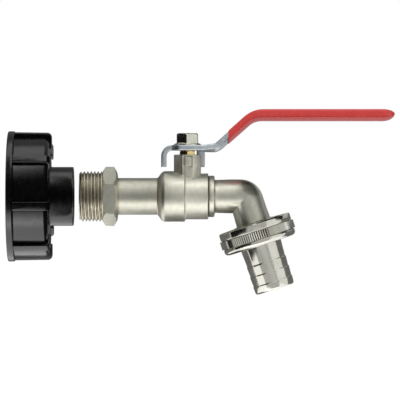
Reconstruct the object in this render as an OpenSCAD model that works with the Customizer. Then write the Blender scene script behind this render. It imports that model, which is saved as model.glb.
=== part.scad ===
// Ball-valve tap with a screw-on tank cap adaptor, a bent lever and a hose tail on a union nut.
// The waterway runs along +X from the tank to the spout, +Z is up, and the lever turns about Z.
// The origin is the centre of the cap's mouth.

/* [Tank cap] */
// Radius of the plain wall at the crests of the cap's coarse thread
cap_thread_r = 27.7; // [27.2:0.1:28]
// Radius at the roots of the cap's coarse thread, and of its run-out groove
cap_root_r = 30.0; // [29.8:0.1:30.2]
// Depth from the cap's mouth to the outer face of its end plate
cap_depth = 21.8; // [20.5:0.1:26]
// Thickness of the cap's end plate
cap_plate_t = 3.0; // [2.6:0.1:3.6]
// Outer radius of the skirt between its grip ribs
cap_skirt_r = 31.6; // [31.2:0.1:32.6]
// Radius of the rounded shoulder of the skirt
cap_shoulder_r = 2.6; // [1.5:0.1:3]
// Outer radius of the flange at the mouth
cap_flange_r = 34.2; // [33.8:0.1:36]
// Width of the flange along the axis
cap_flange_w = 3.6; // [2.5:0.1:6]
// Number of grip ribs
rib_count = 8; // [6:1:12]
// Width of a grip rib
rib_w = 4.5; // [3:0.1:6]
// Outer radius of the grip ribs
rib_r = 33.5; // [33.2:0.1:33.8]
// Radius of the ribs' outer corner
rib_round = 2.4; // [1:0.1:3]
// How far the ribs stand out of the end plate
rib_proud = 1.25; // [0.6:0.05:2]
// Radius at which the ribs end on the end plate
rib_inner_r = 25.5; // [20:0.1:27]
// Turn of the first rib away from the top, towards the front
rib_phase = 9; // [0:0.5:22]
// Outer radius of the threaded spigot on the cap
spigot_r = 15.45; // [15:0.05:17]
// Length of the spigot from the end plate
spigot_len = 12.5; // [10:0.1:14]
// Radius of the water hole through the end plate
inlet_hole_r = 9.5; // [8:0.1:10.5]
// Depth of the spigot's seat below the end plate's outer face
inlet_seat_depth = 1.5; // [0.8:0.1:1.8]
// Thickness of the flat washer in the spigot
inlet_washer_t = 2.4; // [2:0.1:2.8]
// Thickness of the gasket inside the cap
cap_gasket_t = 2.9; // [2:0.1:3.2]
// Width of the cap gasket's ring
cap_gasket_w = 7.5; // [5:0.1:9]

/* [Pipe thread] */
// Outer radius of the pipe threads, on the inlet and under the union nut
thread_r = 13.22; // [13.1:0.01:13.3]
// Radial clearance between a pipe thread and the bore that screws onto it
thread_fit = 0.10; // [0.05:0.01:0.15]

/* [Valve body] */
// Gap left between the spigot and the tap's inlet thread
adaptor_gap = 3.0; // [0.5:0.1:10]
// Length of the inlet thread
inlet_thread_len = 12.4; // [11:0.1:14]
// Width across the flats of the inlet hexagon
hex_af = 27; // [26.6:0.1:30]
// Length of the hexagon, chamfers included
hex_len = 7.8; // [7:0.1:12]
// Turn of the hexagon about the axis
hex_turn = 5.5; // [0:0.5:30]
// Outer radius of the neck
neck_r = 9.65; // [9:0.05:10.5]
// Length of the neck between the hexagon and the barrel
neck_len = 20.9; // [15:0.1:40]
// Length of the cone from the neck to the barrel
barrel_cone_len = 2.6; // [2:0.1:4]
// Outer radius of the barrel's wide part
barrel_r = 13.28; // [13.0:0.02:14]
// Length from the neck to the step in the barrel
barrel_wide_len = 14.2; // [12:0.1:18]
// Outer radius of the barrel's narrow part
barrel_narrow_r = 12.05; // [11.9:0.05:12.6]
// Length from the step to the end of the barrel
barrel_narrow_len = 12.35; // [11.5:0.05:16]
// Radius of the waterway
bore_r = 6.5; // [5:0.1:6.8]

/* [Stem tower] */
// Distance from the start of the barrel's cone to the stem's axis
stem_from_cone = 15.6; // [15:0.1:16.2]
// Width across the flats of the octagonal tower
tower_af = 14.2; // [14:0.1:16]
// Height of the tower's top above the waterway's axis
tower_top = 21.9; // [21:0.1:26]
// Thickness of the stop lug on the far side
stop_lug_t = 1.6; // [1.2:0.1:1.8]
// Distance of the stop lug's outer face from the waterway's axis
stop_lug_reach = 12.5; // [12:0.1:13]
// Height of the stop lug's top
stop_lug_top = 21.5; // [19:0.1:22]
// Width of the shallow pocket in the tower's front face
pocket_w = 5.4; // [4:0.1:5.6]
// Depth of the pocket
pocket_depth = 0.7; // [0.3:0.1:0.9]

/* [Ball and stem] */
// Radius of the ball
ball_r = 9.25; // [9:0.05:9.4]
// Radius of the port through the ball
port_r = 6.0; // [5:0.1:6.2]
// Running clearance between the ball and its seats
ball_fit = 0.05; // [0.03:0.01:0.1]
// Thickness of a ball seat along the axis
seat_t = 3.4; // [3:0.1:3.8]
// Radius of the stem
stem_r = 3.9; // [3.6:0.05:4]
// Running clearance round the stem
stem_fit = 0.05; // [0.03:0.01:0.1]
// Radius of the shoulder at the stem's foot
stem_shoulder_r = 5.6; // [5.2:0.05:5.7]
// Height at which the stem's shoulder starts
stem_shoulder_z = 10.5; // [10.3:0.1:10.8]
// Thickness of the stem's shoulder
stem_shoulder_t = 1.8; // [1.4:0.1:2]
// Thickness of the stem's thrust washer
thrust_washer_t = 0.6; // [0.4:0.1:0.8]
// Thickness of the land under the packing
packing_land_t = 1.7; // [1.2:0.1:2]
// Thickness of one packing ring
packing_ring_t = 1.4; // [1:0.1:1.8]
// Radius of the packing bore in the tower
packing_bore_r = 5.5; // [5.2:0.05:5.6]
// Width across the flats of the gland nut's head
gland_af = 8.0; // [8:0.1:9.4]
// Height of the gland nut's head
gland_head_t = 1.8; // [1.4:0.1:2]
// Thickness of the tang that turns the ball
tang_t = 3.0; // [2:0.1:4]
// Clearance of the tang in the ball's slot, on each side
tang_fit = 0.05; // [0.03:0.01:0.1]

/* [Lever] */
// Gap between the gland nut's head and the lever
lever_lift = 0.4; // [0.3:0.1:1]
// Thickness of the lever's steel
lever_t = 2.8; // [2.4:0.1:3]
// Width of the lever's plate
lever_plate_w = 19; // [17:0.5:20]
// Width of the lever's handle
handle_w = 16; // [13:0.5:17]
// Distance from the stem's axis to the outer face of the end tab
end_tab_x = 13.8; // [13.7:0.1:14.2]
// Width of the end tab
end_tab_w = 5.8; // [5:0.1:5.8]
// Outer bend radius of the end tab
end_tab_bend = 5.8; // [3.5:0.1:6]
// Height of the tabs' lower ends above the waterway's axis
tab_bottom = 15.5; // [14.6:0.1:18]
// Length of the side tab along the lever
side_tab_len = 4.4; // [3:0.1:5]
// Clearance between a tab and the stop lug
stop_gap = 0.15; // [0.1:0.05:0.3]
// Distance from the stem's axis to the foot of the rising part
heel_x = 14.6; // [13:0.1:20]
// Rise of the plate's top at the foot of the rising part
heel_rise = 0.9; // [0.4:0.1:1.5]
// Angle of the rising part
lever_rise_angle = 41.7; // [25:0.1:55]
// Height of the grip's steel top above the waterway's axis
grip_z = 44.85; // [36:0.05:60]
// Radius of the upper bend, at the steel's top face
upper_bend_r = 15; // [10:0.5:20]
// Depth of the pressed belly under the handle
belly_h = 1.8; // [1:0.1:2]
// Distance from the stem's axis to the end of the steel
handle_end_x = 103.5; // [80:0.5:160]

/* [Grip sleeve] */
// Distance from the stem's axis to the start of the sleeve
sleeve_start_x = 21.5; // [20.5:0.1:26]
// Wall of the sleeve on the rising part
sleeve_wall_low = 0.35; // [0.3:0.05:0.5]
// Wall of the sleeve on the grip
sleeve_wall = 0.8; // [0.6:0.05:1.2]
// Length of the closed tip past the end of the steel
sleeve_tip_len = 5.2; // [5:0.1:9]
// Clearance between the sleeve and the steel
sleeve_fit = 0.05; // [0.03:0.01:0.1]

/* [Lever screw] */
// Radius of the screw's flange
screw_flange_r = 7.1; // [6.8:0.1:8]
// Height of the flange's cone
screw_flange_t = 1.4; // [1:0.1:2]
// Width across the flats of the screw's head
screw_af = 10.87; // [10:0.01:11]
// Height of the screw's head above the lever
screw_head_t = 6.3; // [4:0.1:7]
// Turn of the screw's head
screw_turn = 3.5; // [0:0.5:30]
// Radius of the screw's shank
screw_r = 2.5; // [2.3:0.05:2.6]
// Length of the shank below the lever's top
screw_len = 6.4; // [5.5:0.1:7]

/* [Spout] */
// Thickness of the flat gasket between the body and the spout
spout_gasket_t = 0.35; // [0.3:0.05:0.6]
// Radius of the spout's collar
collar_r = 10.9; // [10.7:0.05:11.8]
// Width of the spout's collar
collar_w = 2.95; // [2:0.05:4]
// Outer radius of the spout's level tube
spout_r = 8.64; // [8.3:0.02:9.2]
// Outer radius of the spout's leg
leg_r = 9.16; // [8.9:0.02:9.4]
// Distance from the collar's face to the corner of the elbow's axes
elbow_reach = 16.0; // [13:0.1:30]
// Lean of the leg away from straight down
leg_lean = 18; // [0:0.5:30]
// Radius of the leg's bore
leg_bore_r = 7.0; // [6.9:0.05:7.4]
// Radius of the elbow's bend, at the axis
elbow_bend_r = 3.0; // [2:0.1:5]
// Clearance of the spout's nose in the body
nose_fit = 0.05; // [0.03:0.01:0.1]
// Distance along the leg from the corner to the union thread
boss_at = 14.9; // [14:0.1:30]
// Length of the union thread
boss_len = 5.6; // [5.5:0.1:12]

/* [Union nut] */
// Outer radius of the union nut
nut_r = 19.4; // [18.6:0.1:20]
// Length of the union nut
nut_len = 11.9; // [11:0.1:16]
// Thickness of the nut's lower flange
nut_floor = 2.45; // [2:0.05:3.5]
// Start of the knurled band below the nut's top
band_at = 4.0; // [2:0.1:5]
// Width of the knurled band
band_w = 4.5; // [3:0.1:6]
// Number of ridges in the knurled band
ridge_count = 100; // [60:2:120]
// Depth of the ridges
ridge_depth = 0.4; // [0.2:0.05:0.6]
// How far the two plain lugs stand out of the nut
nut_lug_proud = 0.7; // [0.3:0.1:1.2]
// Angle that each plain lug takes up
nut_lug_angle = 64; // [20:1:80]
// Radius of the nut's lower outer corner
nut_corner_r = 2.0; // [0.5:0.1:3]

/* [Hose tail] */
// Thickness of the union washer
union_washer_t = 2.0; // [1.5:0.1:2.4]
// Thickness of the tail's flange
tail_flange_t = 1.8; // [1.5:0.1:2.2]
// Radius of the barbs' lands, for the hose
barb_r = 10.7; // [10.5:0.05:10.8]
// Step at each barb
barb_step = 0.3; // [0.2:0.05:0.5]
// Width of a barb's land
barb_land = 0.8; // [0.5:0.1:1.2]
// Distance along the leg from the tail's flange to the first barb
barb_at = 11.5; // [9:0.1:20]
// Distance from one barb to the next
barb_pitch = 5.45; // [4:0.05:8]
// Number of barbs
barb_count = 3; // [2:1:5]
// Length of the plain end past the last barb
tail_end_len = 4.4; // [3:0.1:8]
// Radius of the hose tail's bore
tail_bore_r = 8.4; // [7.5:0.1:8.8]
// Running clearance between the tail and the nut
tail_fit = 0.15; // [0.1:0.05:0.25]

/* [Hidden] */
$fn = 64;
over = 1;            // how far a cut runs past the face it opens
fillet_steps = 5;    // straight pieces in a rounded corner
seal_fit = 0.2;      // clearance round a loose flat seal
corner_step = 0.12; // how far the elbow's corner stands out from the straight pipes it joins

// Places along X
plate_in_x = cap_depth - cap_plate_t;
gasket_x = plate_in_x - cap_gasket_t;
runout_x = gasket_x - 1.7;
spigot_end_x = cap_depth + spigot_len;
washer_x = cap_depth - inlet_seat_depth;
inlet_x = spigot_end_x + adaptor_gap;
hex_x = inlet_x + inlet_thread_len;
neck_x = hex_x + hex_len;
cone_x = neck_x + neck_len;
barrel_step_x = cone_x + barrel_wide_len;
barrel_end_x = barrel_step_x + barrel_narrow_len;
stem_x = cone_x + stem_from_cone;
collar_x = barrel_end_x + spout_gasket_t;
tube_x = collar_x + collar_w;
elbow_x = tube_x + elbow_reach;

// The ball's chamber
ball_pocket_r = ball_r + ball_fit;
seat_outer_r = ball_r + 0.5;
chamber_r = seat_outer_r + 0.15;
seat_gap = 4.2;      // from the ball's centre to the near face of a seat
seat_reach = seat_gap + seat_t;
seat_hole_r = port_r + 0.3;
nose_r = chamber_r + 0.45;
nose_bore_r = nose_r + nose_fit;
nose_x = stem_x + seat_reach;

// Heights on the stem
thrust_z = stem_shoulder_z + stem_shoulder_t;
land_z = thrust_z + thrust_washer_t;
packing_z = land_z + packing_land_t;
upper_ring_z = packing_z + packing_ring_t;
gland_z = upper_ring_z + packing_ring_t;
gland_top = tower_top + gland_head_t;
lever_z = gland_top + lever_lift;
lever_top = lever_z + lever_t;
stem_flats = 5.5;
stem_top = lever_top - 0.2;
stem_bore_r = stem_r + stem_fit;
slot_floor = port_r + 0.6;
slot_w = tang_t + 2 * tang_fit;

// The lever's stops: the lug stands between the side tab and the place that the end tab turns to
stop_lug_x = stem_x + end_tab_w / 2 + stop_gap;
side_tab_x = stop_lug_x + stop_lug_t + stop_gap;
side_tab_y = 7.6;

// The leg below the elbow, measured down it from the corner
nut_top = boss_at + 0.1;
washer_at = boss_at + boss_len;
tail_at = washer_at + union_washer_t;
tail_flange_r = thread_r - 0.3;
nut_end = nut_top + nut_len;
nut_floor_at = nut_end - nut_floor;
tail_neck_r = barb_r + 0.2;
nut_hole_r = tail_neck_r + tail_fit;
tail_end = tail_at + barb_at + tail_flange_t + (barb_count - 1) * barb_pitch + tail_end_len;
elbow_turn = 90 - leg_lean;
bend_start = elbow_bend_r * tan(elbow_turn / 2);
bend_r = (spout_r + leg_r) / 2;

// Points of a polygon whose corners [x, y, r] are rounded with radius r
function arc_from(a, b, c, r) =
    let (u = (a - b) / norm(a - b), v = (c - b) / norm(c - b),
         half = acos(max(-1, min(1, u * v))) / 2,
         mid = b + (u + v) / norm(u + v) * r / sin(half),
         p = b + u * r / tan(half) - mid, q = b + v * r / tan(half) - mid,
         a0 = atan2(p[1], p[0]), swing = atan2(q[1], q[0]) - a0,
         turn = swing > 180 ? swing - 360 : swing < -180 ? swing + 360 : swing)
    [for (i = [0:fillet_steps]) mid + r * [cos(a0 + turn * i / fillet_steps), sin(a0 + turn * i / fillet_steps)]];
function corner(p) = [p[0], p[1]];
function rounded(pts) = let (n = len(pts))
    [for (i = [0:n - 1]) each (len(pts[i]) > 2 && pts[i][2] > 0
        ? arc_from(corner(pts[(i + n - 1) % n]), corner(pts[i]), corner(pts[(i + 1) % n]), pts[i][2])
        : [corner(pts[i])])];

// A profile of [radius, x] points turned about the waterway's axis
module turned_x(pts) { rotate([0, 90, 0]) rotate_extrude() polygon(rounded(pts)); }
// A profile of [radius, z] points turned about the stem's axis
module turned_stem(pts) { translate([stem_x, 0, 0]) rotate_extrude() polygon(rounded(pts)); }
// Places what stands on +Z so that it points down the spout's leg
module down_leg() { translate([elbow_x, 0, 0]) rotate([0, 90 + elbow_turn, 0]) children(); }
// A round bore along +X between two places
module bore_x(r, x0, x1) { translate([x0, 0, 0]) rotate([0, 90, 0]) cylinder(h = x1 - x0, r = r); }
// A flat ring on the stem's axis
module stem_ring(z, t, r_in, r_out) {
    translate([stem_x, 0, z]) difference() {
        cylinder(h = t, r = r_out);
        translate([0, 0, -over]) cylinder(h = t + 2 * over, r = r_in);
    }
}
// A prism with n flats, given its width across them, standing on +Z
module flats(n, af, h) { rotate([0, 0, 180 / n]) cylinder(h = h, r = af / 2 / cos(180 / n), $fn = n); }

// One rib's section: up the skirt, round the corner and onto the end plate
module rib_section() {
    front = cap_depth + rib_proud;
    polygon(rounded([[cap_skirt_r - 1, cap_flange_w - over], [rib_r + 0.4, cap_flange_w - over],
        [rib_r, front, rib_round], [rib_inner_r, front, 0.5], [rib_inner_r, cap_depth - over],
        [cap_skirt_r - 1, cap_depth - over]]));
}
module tank_cap() color([0.07, 0.07, 0.07]) difference() {
    union() {
        turned_x([[0, 0], [cap_flange_r, 0, 0.6], [cap_flange_r, cap_flange_w, 0.8], [cap_skirt_r, cap_flange_w],
            [cap_skirt_r, cap_depth, cap_shoulder_r], [0, cap_depth]]);
        for (i = [0:rib_count - 1]) intersection() {
            rotate([0, 90, 0]) rotate_extrude() rib_section();
            rotate([rib_phase + i * 360 / rib_count, 0, 0]) translate([0, -rib_w / 2, 0])
                cube([cap_depth + rib_proud + over, rib_w, cap_flange_r + over]);
        }
        turned_x([[0, cap_plate_t], [spigot_r, cap_plate_t], [spigot_r, spigot_end_x, 0.6], [0, spigot_end_x]]);
    }
    bore_x(cap_thread_r, -over, plate_in_x);
    bore_x(cap_root_r, runout_x, plate_in_x);
    bore_x(inlet_hole_r, 0, spigot_end_x);
    bore_x(thread_r + thread_fit, washer_x, spigot_end_x + over);
}
module cap_gasket() color([0.16, 0.16, 0.16]) difference() {
    bore_x(cap_root_r - seal_fit * 2, gasket_x, plate_in_x);
    bore_x(cap_root_r - cap_gasket_w, gasket_x - over, plate_in_x + over);
}
module inlet_washer() color([0.16, 0.16, 0.16]) difference() {
    bore_x(thread_r - seal_fit, washer_x, washer_x + inlet_washer_t);
    bore_x(inlet_hole_r, washer_x - over, washer_x + inlet_washer_t + over);
}

module tower() {
    front = tower_af / 2;
    pad_w = pocket_w - 0.8;
    translate([stem_x, 0, 0]) difference() {
        flats(8, tower_af, tower_top);
        translate([-pocket_w / 2, -front - over, tower_top - 6.6])
            cube([pocket_w, over + pocket_depth, 5.9]);
    }
    translate([stem_x - pad_w / 2 + 0.2, -front - 0.05, tower_top - 6]) cube([pad_w, pocket_depth + 0.3, 4.8]);
}
module stop_lug() {
    foot = sqrt(pow(barrel_narrow_r, 2) - pow(tab_bottom / 2.5, 2)) - 0.2;
    translate([stop_lug_x, 0, 0]) rotate([90, 0, 90]) linear_extrude(stop_lug_t)
        polygon([[tower_af / 4, tab_bottom / 2.5], [foot, tab_bottom / 2.5], [stop_lug_reach, tab_bottom],
            [stop_lug_reach, stop_lug_top], [tower_af / 4, stop_lug_top]]);
}
module valve_body() color([0.78, 0.77, 0.71]) difference() {
    union() {
        turned_x([[0, inlet_x], [thread_r - 1, inlet_x], [thread_r, inlet_x + 1], [thread_r, hex_x + 1], [0, hex_x + 1]]);
        intersection() {
            turned_x([[0, hex_x], [hex_af / 2 - 0.4, hex_x], [hex_af / 2 + 2.3, hex_x + 1.6],
                [hex_af / 2 + 2.3, neck_x - 2.1], [hex_af / 2 - 0.9, neck_x - 0.4], [neck_r, neck_x, 1], [neck_r, neck_x + 2],
                [0, neck_x + 2]]);
            translate([hex_x, 0, 0]) rotate([hex_turn, 0, 0]) rotate([0, 90, 0]) flats(6, hex_af, hex_len + 2);
        }
        turned_x([[0, neck_x], [neck_r, neck_x], [neck_r, cone_x, 0.6], [barrel_r, cone_x + barrel_cone_len, 1.6],
            [barrel_r, barrel_step_x, 0.3], [barrel_narrow_r, barrel_step_x + 0.4],
            [barrel_narrow_r, barrel_end_x, 0.5], [0, barrel_end_x]]);
        tower();
        stop_lug();
    }
    bore_x(bore_r, inlet_x - over, stem_x);
    bore_x(chamber_r, stem_x - seat_reach, nose_x + over);
    bore_x(nose_bore_r, nose_x, barrel_end_x + over);
    translate([stem_x, 0, 0]) {
        cylinder(h = land_z, r = stem_shoulder_r + seal_fit);
        cylinder(h = tower_top, r = stem_bore_r);
        translate([0, 0, packing_z]) cylinder(h = tower_top - packing_z + over, r = packing_bore_r);
    }
}
module seat(side) {
    difference() {
        translate([stem_x, 0, 0]) rotate([0, 90 * side, 0]) translate([0, 0, seat_gap]) difference() {
            cylinder(h = seat_t, r = seat_outer_r);
            translate([0, 0, -over]) cylinder(h = seat_t + 2 * over, r = seat_hole_r);
        }
        translate([stem_x, 0, 0]) sphere(r = ball_pocket_r);
    }
}
module inlet_seat() color([0.94, 0.94, 0.92]) seat(-1);
module outlet_seat() color([0.94, 0.94, 0.92]) seat(1);
module ball() color([0.85, 0.85, 0.86]) difference() {
    translate([stem_x, 0, 0]) sphere(r = ball_r);
    bore_x(port_r, stem_x - ball_r - over, stem_x + ball_r + over);
    translate([stem_x - slot_w / 2, -ball_r, slot_floor]) cube([slot_w, 2 * ball_r, ball_r]);
}
module stem() color([0.76, 0.6, 0.3]) difference() {
    union() {
        translate([stem_x, 0, slot_floor + 0.2]) intersection() {
            cylinder(h = stem_shoulder_z - slot_floor, r = stem_r - 0.5);
            translate([-tang_t / 2, -stem_r, 0]) cube([tang_t, 2 * stem_r, stem_shoulder_z]);
        }
        translate([stem_x, 0, stem_shoulder_z]) {
            cylinder(h = stem_shoulder_t, r = stem_shoulder_r);
            cylinder(h = lever_z - stem_shoulder_z, r = stem_r);
            intersection() {
                cylinder(h = stem_top - stem_shoulder_z, r = stem_r);
                translate([-stem_r, -stem_flats / 2, 0]) cube([2 * stem_r, stem_flats, stem_top]);
            }
        }
    }
    translate([stem_x, 0, lever_top - screw_len - 0.8]) cylinder(h = screw_len + over, r = screw_r + 0.05);
}
module stem_thrust_washer() color([0.94, 0.94, 0.92])
    stem_ring(thrust_z, thrust_washer_t, stem_bore_r, stem_shoulder_r);
module lower_packing_ring() color([0.94, 0.94, 0.92])
    stem_ring(packing_z, packing_ring_t, stem_bore_r, packing_bore_r - stem_fit);
module upper_packing_ring() color([0.94, 0.94, 0.92])
    stem_ring(upper_ring_z, packing_ring_t, stem_bore_r, packing_bore_r - stem_fit);
module gland_nut() color([0.8, 0.64, 0.3]) difference() {
    translate([stem_x, 0, 0]) union() {
        translate([0, 0, gland_z]) cylinder(h = tower_top - gland_z, r = packing_bore_r - stem_fit);
        translate([0, 0, tower_top]) intersection() {
            flats(6, gland_af, gland_head_t);
            cylinder(h = gland_head_t, r1 = gland_af / 2 + 1.6, r2 = gland_af / 2 + 0.3);
        }
    }
    translate([stem_x, 0, gland_z - over]) cylinder(h = gland_top - gland_z + 2 * over, r = stem_bore_r);
}

// The handle's path along its steel's top face, as stations [x, z]
upper_x = heel_x + (grip_z - lever_top - heel_rise) / tan(lever_rise_angle);
function path_points(end) = rounded_open([[6, lever_top], [8.5, lever_top, 12], [heel_x, lever_top + heel_rise, 3.5],
    [upper_x, grip_z, upper_bend_r], [end, grip_z]]);
function rounded_open(pts) = let (n = len(pts))
    [for (i = [0:n - 1]) each (len(pts[i]) > 2
        ? arc_from(corner(pts[i - 1]), corner(pts[i]), corner(pts[i + 1]), pts[i][2]) : [corner(pts[i])])];
function lean_at(p, i) = let (a = p[max(0, i - 1)], b = p[min(len(p) - 1, i + 1)]) atan2(b[1] - a[1], b[0] - a[0]);
function blend(x, x0, x1) = let (t = max(0, min(1, (x - x0) / (x1 - x0)))) t * t * (3 - 2 * t);
function mix(a, b, t) = a + (b - a) * t;

// Section of the handle as [sideways, up] points: flat top, round edges and a belly below, grown by wall
function handle_section(w, belly, wall, round) =
    let (h = w / 2 + wall, top = wall, low = -lever_t - wall)
    rounded(concat([[-h, low, round]], [for (k = [-2:2]) [h * k / 3.2, low - belly * (1 - pow(k / 3.2, 2))]],
        [[h, low, round], [h, top, round], [-h, top, round]]));
function place(s, p, a) = [for (q = s) [p[0] - q[1] * sin(a), q[0], p[1] + q[1] * cos(a)]];
// A closed skin over rings of equally many points
module skin(rings) {
    n = len(rings[0]);
    m = len(rings);
    polyhedron(points = [for (r = rings) each r],
        faces = concat([[for (j = [0:n - 1]) j]],
            [for (i = [0:m - 2], j = [0:n - 1]) each [[i * n + (j + 1) % n, i * n + j, (i + 1) * n + j],
                [(i + 1) * n + (j + 1) % n, i * n + (j + 1) % n, (i + 1) * n + j]]],
            [[for (j = [n - 1:-1:0]) (m - 1) * n + j]]));
}
function steel_ring(p, i, grow) = let (x = p[i][0], t = blend(x, 5, 13))
    place(handle_section(mix(lever_plate_w, handle_w, t), mix(0.05, belly_h, t), grow, 0.5), p[i], lean_at(p, i));
module handle_steel(grow, end) {
    p = path_points(end);
    skin([for (i = [0:len(p) - 1]) steel_ring(p, i, grow)]);
}
module lever() color([0.68, 0.71, 0.73]) {
    half = lever_plate_w / 2;
    translate([stem_x, 0, 0]) difference() {
        union() {
            translate([0, end_tab_w / 2, 0]) rotate([90, 0, 0]) linear_extrude(end_tab_w)
                polygon(rounded([[-end_tab_x, tab_bottom, 0.6], [-end_tab_x, lever_top, end_tab_bend], [0, lever_top],
                    [0, lever_z], [-end_tab_x + lever_t, lever_z, end_tab_bend - lever_t],
                    [-end_tab_x + lever_t, tab_bottom, 0.6]]));
            translate([0, 0, lever_z]) linear_extrude(lever_t)
                polygon(rounded([[-8, -half, 4], [6.5, -half], [6.5, half], [-8, half, 4]]));
            translate([side_tab_x - stem_x, 0, 0]) rotate([90, 0, 90]) linear_extrude(side_tab_len)
                polygon(rounded([[half - 4, lever_z], [side_tab_y, lever_z], [side_tab_y, tab_bottom],
                    [side_tab_y + lever_t, tab_bottom, 0.6], [side_tab_y + lever_t, lever_top, lever_t - 0.3],
                    [half - 4, lever_top]]));
            handle_steel(0, handle_end_x);
        }
        translate([0, 0, lever_z - over]) intersection() {
            cylinder(h = lever_t + 2 * over, r = stem_bore_r);
            translate([-stem_r - over, -stem_flats / 2 - stem_fit, 0])
                cube([2 * (stem_r + over), stem_flats + 2 * stem_fit, lever_t + 2 * over]);
        }
    }
}
function sleeve_ring(p, i) = let (x = p[i][0], t = blend(x, upper_x - 6, upper_x + 6))
    place(handle_section(handle_w, belly_h, mix(sleeve_wall_low, sleeve_wall, t), 1.3), p[i], lean_at(p, i));
// The tip closes in steps of [distance past the steel, drop of the top, width, height]
tip_steps = [[0, 0, 1, 1], [0.35, 0.25, 0.93, 0.84], [0.68, 0.95, 0.76, 0.62], [0.9, 1.7, 0.56, 0.36], [1, 2.2, 0.4, 0.16]];
function tip_ring(k) = let (c = tip_steps[k])
    place([for (q = handle_section(handle_w, belly_h * (1 - k / 4), sleeve_wall, 1.3)) [q[0] * c[2],
        sleeve_wall - c[1] + (q[1] - sleeve_wall) * c[3]]], [handle_end_x + 0.3 + (sleeve_tip_len - 0.3) * c[0], grip_z], 0);
// The sleeve's mouth is cut square to the level, so its section is stretched along the rising part
function mouth_ring(grow) = let (a = lever_rise_angle,
    top = lever_top + heel_rise + (sleeve_start_x - heel_x) * tan(a))
    [for (q = handle_section(handle_w, belly_h, grow, grow > sleeve_fit ? 1.3 : 0.5))
        [sleeve_start_x, q[0], top + q[1] / cos(a)]];
module lever_sleeve() color([0.8, 0.16, 0.15]) translate([stem_x, 0, 0]) {
    p = path_points(handle_end_x + sleeve_fit);
    up = [for (i = [0:len(p) - 1]) if (p[i][0] > sleeve_start_x + 4) i];
    skin(concat([for (k = [len(up) - 1:-1:0]) steel_ring(p, up[k], sleeve_fit)], [mouth_ring(sleeve_fit)],
        [mouth_ring(sleeve_wall_low)], [for (i = up) if (p[i][0] < handle_end_x - 2) sleeve_ring(p, i)],
        [for (k = [0:4]) tip_ring(k)]));
}
module lever_screw() color([0.76, 0.75, 0.7]) {
    hex_z = lever_top + screw_flange_t;
    turned_stem([[0, lever_top], [screw_flange_r, lever_top], [screw_flange_r, lever_top + 0.5], [screw_af / 2 - 0.1, hex_z],
        [0, hex_z]]);
    translate([stem_x, 0, lever_top]) intersection() {
        rotate([0, 0, 30 - screw_turn]) flats(6, screw_af, screw_head_t);
        cylinder(h = screw_head_t, r1 = screw_af / 2 + 4.5, r2 = screw_af / 2 - 0.2);
    }
    translate([stem_x, 0, lever_top - screw_len]) cylinder(h = screw_len + 0.5, r = screw_r);
}

module spout_gasket() color([0.2, 0.2, 0.2]) difference() {
    bore_x(collar_r - 0.1, barrel_end_x, collar_x);
    bore_x(nose_bore_r, barrel_end_x - over, collar_x + over);
}
// The elbow's corner: the pipe's section turned about an axis so near that its inner side is a mitre.
// The straight pipes run a little way into it.
// a turn of round bar about the elbow's sharp inner corner, a step proud of the pipes that it joins
module elbow_corner() translate([elbow_x - bend_start, 0, -elbow_bend_r]) rotate([90, 0, 0])
    rotate([0, 0, 90 - elbow_turn]) rotate_extrude(angle = elbow_turn) intersection() {
        translate([elbow_bend_r, 0]) circle(r = bend_r + corner_step);
        translate([0, -2 * bend_r]) square(4 * bend_r);
    }
module spout_elbow() color([0.78, 0.77, 0.71]) difference() {
    lap = 0.3;
    union() {
        turned_x([[0, nose_x], [nose_r, nose_x], [nose_r, collar_x], [collar_r, collar_x, 0.5],
            [collar_r, tube_x, 0.8], [spout_r, tube_x, 0.4], [bend_r, elbow_x - bend_start + lap],
            [0, elbow_x - bend_start + lap]]);
        elbow_corner();
        down_leg() rotate_extrude() polygon(rounded([[0, bend_start - lap], [bend_r, bend_start - lap],
            [leg_r, boss_at - 0.7], [thread_r - 0.5, boss_at - 0.2], [thread_r, boss_at + 0.4], [thread_r, washer_at],
            [0, washer_at]]));
    }
    bore_x(bore_r, nose_x - over, elbow_x);
    translate([elbow_x, 0, 0]) sphere(r = (bore_r + leg_bore_r) / 2);
    down_leg() cylinder(h = tail_at, r = leg_bore_r);
}
module union_washer() color([0.16, 0.16, 0.16]) down_leg() translate([0, 0, washer_at]) difference() {
    cylinder(h = union_washer_t, r = thread_r - seal_fit);
    translate([0, 0, -over]) cylinder(h = union_washer_t + 2 * over, r = tail_bore_r);
}

function ridge_points(n, r, depth) = [for (i = [0:n - 1], k = [0:1])
    let (a = (i + k / 2) * 360 / n) (r - depth * k) * [cos(a), sin(a)]];
module nut_lug(at) {
    rotate([0, 0, at - nut_lug_angle / 2]) rotate_extrude(angle = nut_lug_angle)
        translate([nut_r - 2, nut_top + band_at + 0.3]) square([2 + nut_lug_proud, band_w - 0.6]);
}
module union_nut() color([0.8, 0.79, 0.74]) down_leg() difference() {
    union() {
        rotate_extrude() polygon(rounded([[thread_r - 1, nut_top - 0.3], [thread_r + 0.3, nut_top - 0.3],
            [nut_r - 0.5, nut_top], [nut_r, nut_top + 0.5], [nut_r, nut_top + band_at], [nut_r - 1, nut_top + band_at],
            [nut_r - 1, nut_top + band_at + band_w], [nut_r, nut_top + band_at + band_w], [nut_r, nut_end, nut_corner_r],
            [thread_r - 1, nut_end]]));
        translate([0, 0, nut_top + band_at - 0.4]) linear_extrude(band_w + 0.8) difference() {
            polygon(ridge_points(ridge_count, nut_r - 0.05, ridge_depth));
            circle(r = thread_r + 1);
        }
        nut_lug(0);
        nut_lug(180);
        translate([0, 0, nut_floor_at]) cylinder(h = nut_floor, r = thread_r);
    }
    translate([0, 0, nut_top - over]) cylinder(h = nut_floor_at - nut_top + over, r = thread_r + thread_fit);
    translate([0, 0, nut_top]) cylinder(h = nut_len + over, r = nut_hole_r);
}
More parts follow.
